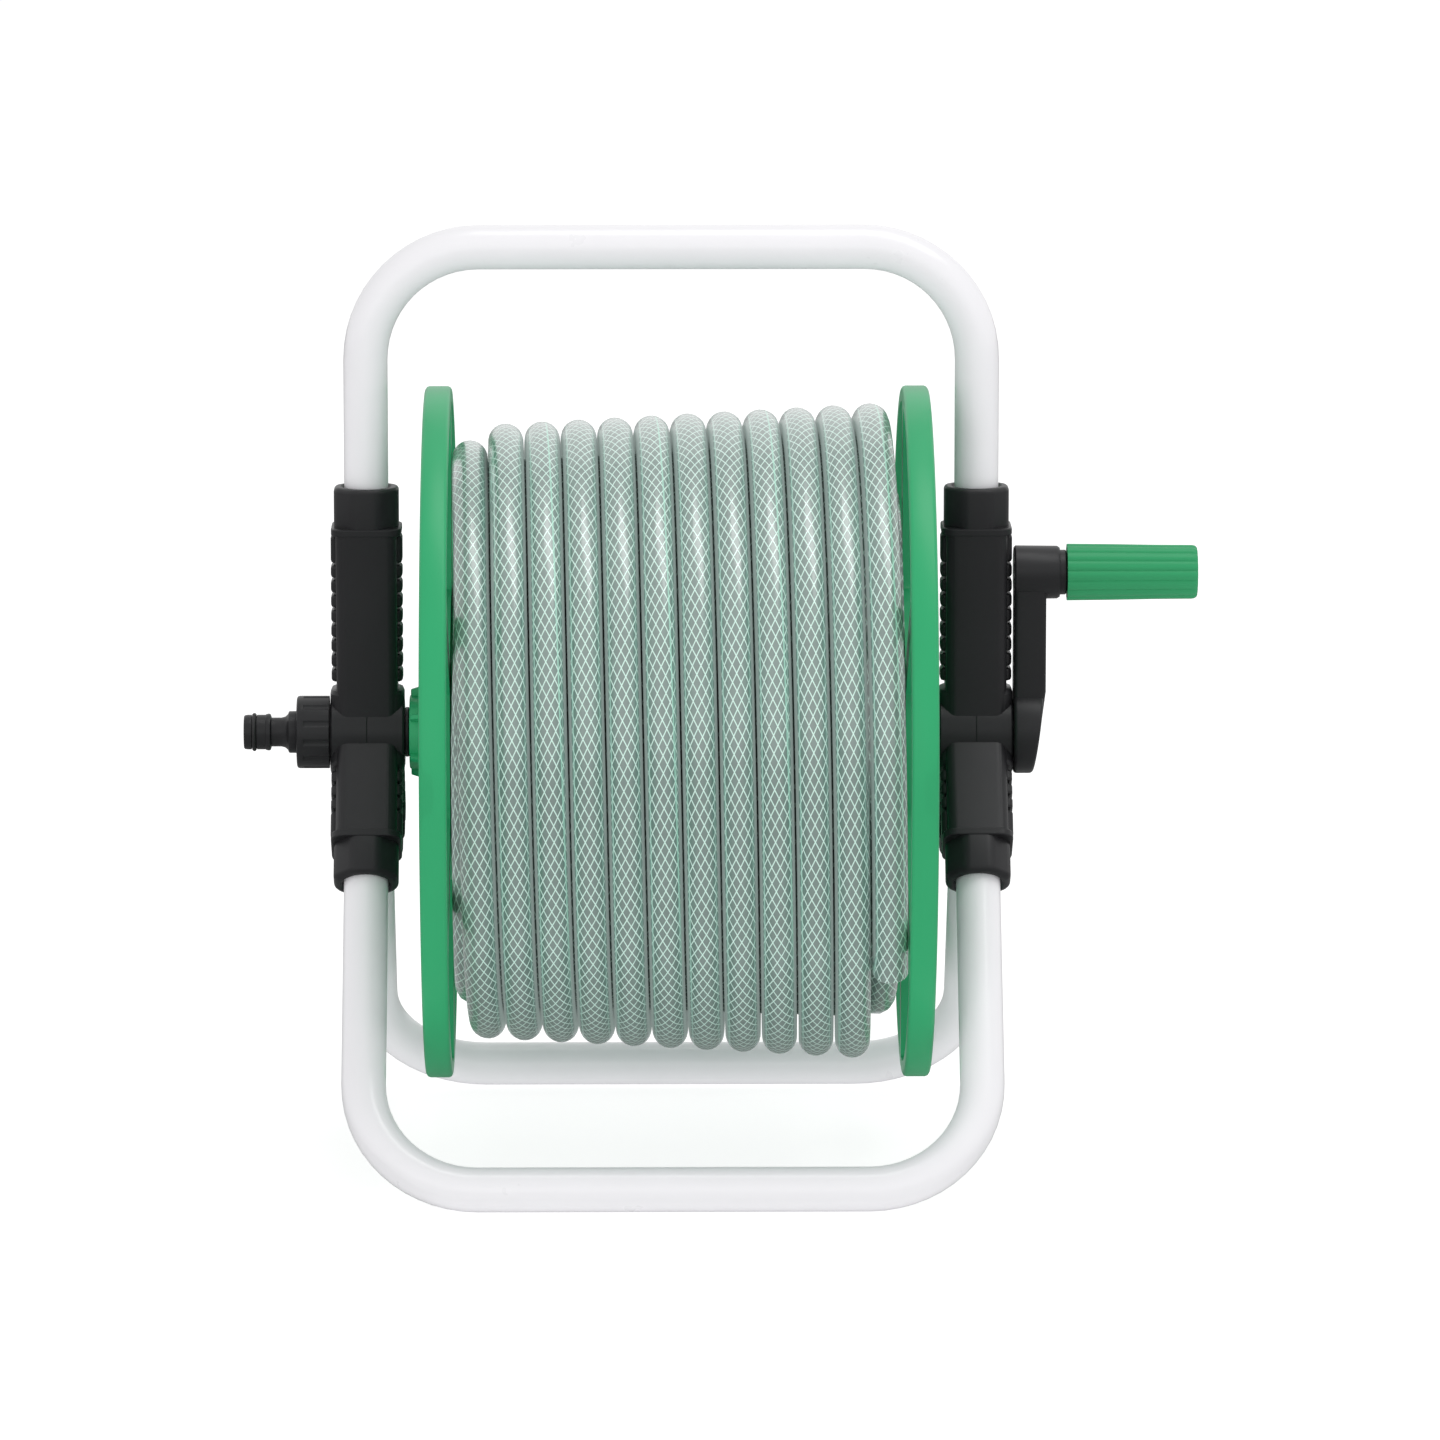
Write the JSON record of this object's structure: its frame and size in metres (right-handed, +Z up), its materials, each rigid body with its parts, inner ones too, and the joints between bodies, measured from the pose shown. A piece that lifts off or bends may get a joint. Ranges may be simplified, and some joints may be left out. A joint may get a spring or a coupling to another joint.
{
  "type": "freestanding hose reel",
  "caption": "Freestanding garden hose reel: bent tube stand with side brackets, crank-wound open-flanged drum of braided hose and a quick-coupling water inlet.",
  "frame": {"origin": "centre of the overall box at floor level, on the plane that both foot bars stand on", "axes": "+X along the drum's axle towards the crank, -Y towards the front foot bar, +Z up"},
  "size_m": [0.4326, 0.314, 0.4243],
  "materials": {
    "white_paint": "gloss white powder coat",
    "black_plastic": "satin black moulding",
    "green_plastic": "satin green moulding",
    "grip_green": "fluted matt green",
    "clear_hose": "clear grey-green hose with pale braid",
    "zinc_steel": "bright zinc",
    "black_rubber": "matt rubber",
    "white_plastic": "natural acetal"
  },
  "bodies": {
    "stand": {"handle_tube": "white_paint", "front_leg_tube": "white_paint", "rear_leg_tube": "white_paint", "left_bracket": "black_plastic", "right_bracket": "black_plastic", "handle_screw_left": "zinc_steel", "handle_screw_right": "zinc_steel", "front_leg_screw_left": "zinc_steel", "front_leg_screw_right": "zinc_steel", "rear_leg_screw_left": "zinc_steel", "rear_leg_screw_right": "zinc_steel", "inlet_spigot": "black_plastic", "inlet_connector": "black_plastic", "inlet_o_ring": "black_rubber", "inlet_washer": "black_rubber", "spigot_retainer": "black_plastic", "spigot_seal_1": "black_rubber", "spigot_seal_2": "black_rubber", "right_bush": "white_plastic"},
    "drum": {"left_flange": "green_plastic", "right_flange": "green_plastic", "drum_barrel": "green_plastic", "drum_screw_1": "zinc_steel", "drum_screw_2": "zinc_steel", "drum_screw_3": "zinc_steel", "drum_screw_4": "zinc_steel", "drum_screw_5": "zinc_steel", "drum_screw_6": "zinc_steel", "drum_screw_7": "zinc_steel", "drum_screw_8": "zinc_steel", "water_elbow": "black_plastic", "hose_clamp": "zinc_steel", "hose_lead": "clear_hose", "hose_inner_layers": "clear_hose", "hose_outer_layer": "clear_hose", "crank_shaft": "zinc_steel", "shaft_screw": "zinc_steel", "crank_arm": "black_plastic", "crank_screw": "zinc_steel", "grip_pin": "zinc_steel"},
    "grip": {"crank_grip": "grip_green"}
  },
  "joints": [
    {"name": "drum_spin", "type": "hinge", "parent": "stand", "child": "drum", "pos_m": [-0.022, 0, 0.19284], "axis": [1, 0, 0], "continuous": true},
    {"name": "grip_spin", "type": "hinge", "parent": "drum", "child": "grip", "pos_m": [0.186, 0, 0.26584], "axis": [1, 0, 0], "continuous": true}
  ]
}
